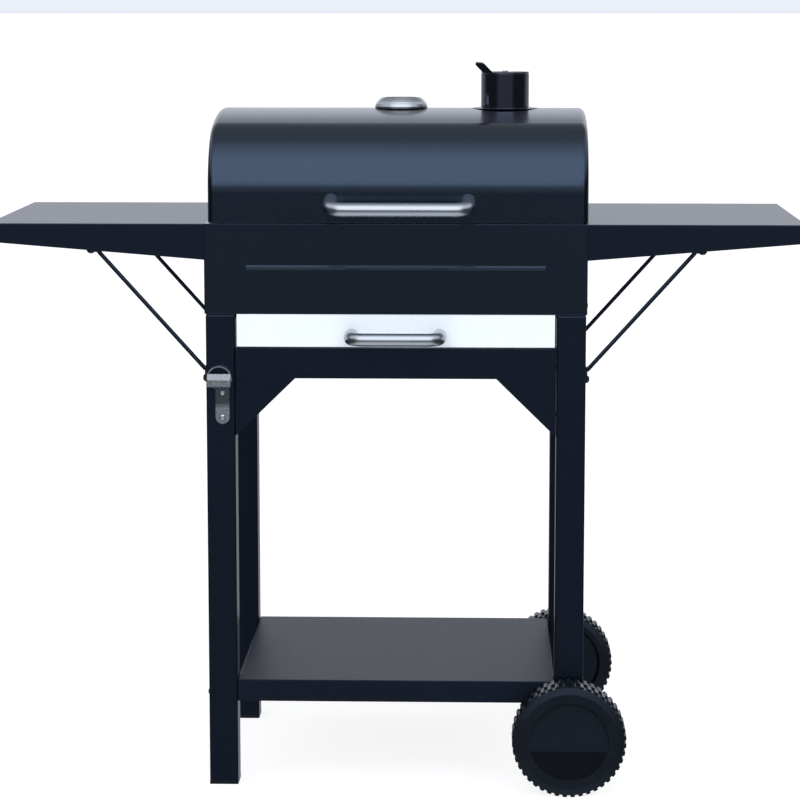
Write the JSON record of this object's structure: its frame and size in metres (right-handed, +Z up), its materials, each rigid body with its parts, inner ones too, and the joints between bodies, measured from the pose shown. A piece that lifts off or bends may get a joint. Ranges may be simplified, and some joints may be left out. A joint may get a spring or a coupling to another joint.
{
  "type": "charcoal grill cart",
  "caption": "Charcoal grill on a wheeled cart: box firebox, hinged domed lid with chimney and thermometer, ash drawer, braced side tables and a lower shelf.",
  "frame": {"origin": "on the ground, midway between the four legs, which is the middle of the whole cart", "axes": "+X to the right as seen from the front, towards the wheels; +Y to the back; +Z up. Seen from the front the viewer looks along +Y."},
  "size_m": [1.19, 0.5523, 1.0677],
  "materials": {
    "satin_black_paint": "satin",
    "high_heat_paint": "satin",
    "black_enamel": "gloss",
    "chrome": "polished",
    "polished_stainless": "polished",
    "galvanised_steel": "satin",
    "bare_steel": "satin",
    "zinc_plate": "satin",
    "black_bolt": "satin",
    "black_plastic": "satin",
    "dial_white": "matte",
    "needle_red": "matte",
    "gauge_glass": "clear"
  },
  "bodies": {
    "cart": {"front_left_leg": "satin_black_paint", "front_right_leg": "satin_black_paint", "rear_left_leg": "satin_black_paint", "rear_right_leg": "satin_black_paint", "foot_plugs": "black_plastic", "front_apron": "satin_black_paint", "rear_apron": "satin_black_paint", "left_drawer_runner": "galvanised_steel", "right_drawer_runner": "galvanised_steel", "lower_shelf": "satin_black_paint", "firebox_front": "high_heat_paint", "firebox_back": "high_heat_paint", "firebox_left": "high_heat_paint", "firebox_right": "high_heat_paint", "firebox_floor": "high_heat_paint", "charcoal_grate": "black_enamel", "front_grate_ledge": "high_heat_paint", "rear_grate_ledge": "high_heat_paint", "hinge_bases": "high_heat_paint", "hinge_pins": "zinc_plate", "left_table": "satin_black_paint", "right_table": "satin_black_paint", "front_left_strut": "satin_black_paint", "front_right_strut": "satin_black_paint", "rear_left_strut": "satin_black_paint", "rear_right_strut": "satin_black_paint", "frame_bolts": "black_bolt", "shelf_bolts": "black_bolt", "bottle_opener": "chrome", "opener_screws": "zinc_plate", "axle": "zinc_plate", "axle_washers": "zinc_plate", "axle_nuts": "zinc_plate"},
    "lid": {"lid_shell": "high_heat_paint", "lid_handle": "chrome", "lid_handle_screws": "zinc_plate", "hinge_leaves": "high_heat_paint", "chimney_flange": "high_heat_paint", "chimney_pipe": "high_heat_paint", "chimney_plate": "high_heat_paint", "damper_rivet": "zinc_plate", "thermometer_case": "zinc_plate", "thermometer_bezel": "chrome", "thermometer_dial": "dial_white", "thermometer_lens": "gauge_glass"},
    "left_grate": {"left_cooking_grate": "black_enamel"},
    "right_grate": {"right_cooking_grate": "black_enamel"},
    "damper": {"damper_cap": "high_heat_paint"},
    "needle": {"thermometer_needle": "needle_red"},
    "drawer": {"drawer_front": "polished_stainless", "ash_pan": "galvanised_steel", "drawer_handle": "chrome", "drawer_screws": "zinc_plate"},
    "front_wheel_set": {"front_wheel": "black_plastic", "front_hub_cap": "black_plastic"},
    "rear_wheel_set": {"rear_wheel": "black_plastic", "rear_hub_cap": "black_plastic"}
  },
  "joints": [
    {"name": "lid_hinge", "type": "hinge", "parent": "cart", "child": "lid", "pos_m": [0, 0.2205, 0.8392], "axis": [-1, 0, 0], "range_deg": [0, 95]},
    {"name": "drawer_slide", "type": "slide", "parent": "cart", "child": "drawer", "axis": [0, -1, 0], "range_m": [0, 0.3]},
    {"name": "left_grate_lift", "type": "slide", "parent": "cart", "child": "left_grate", "axis": [0, 0, 1], "range_m": [0, 0.08]},
    {"name": "right_grate_lift", "type": "slide", "parent": "cart", "child": "right_grate", "axis": [0, 0, 1], "range_m": [0, 0.08]},
    {"name": "damper_turn", "type": "hinge", "parent": "lid", "child": "damper", "pos_m": [0.159, 0, 1.051], "axis": [0, 0, 1], "range_deg": [0, 60]},
    {"name": "needle_turn", "type": "hinge", "parent": "lid", "child": "needle", "pos_m": [0.0019, 0, 1.004], "axis": [0, 0, -1], "range_deg": [0, 270]},
    {"name": "front_wheel_spin", "type": "hinge", "parent": "cart", "child": "front_wheel_set", "pos_m": [0.25625, -0.247, 0.084], "axis": [0, 1, 0], "continuous": true},
    {"name": "rear_wheel_spin", "type": "hinge", "parent": "cart", "child": "rear_wheel_set", "pos_m": [0.25625, 0.247, 0.084], "axis": [0, 1, 0], "continuous": true}
  ]
}
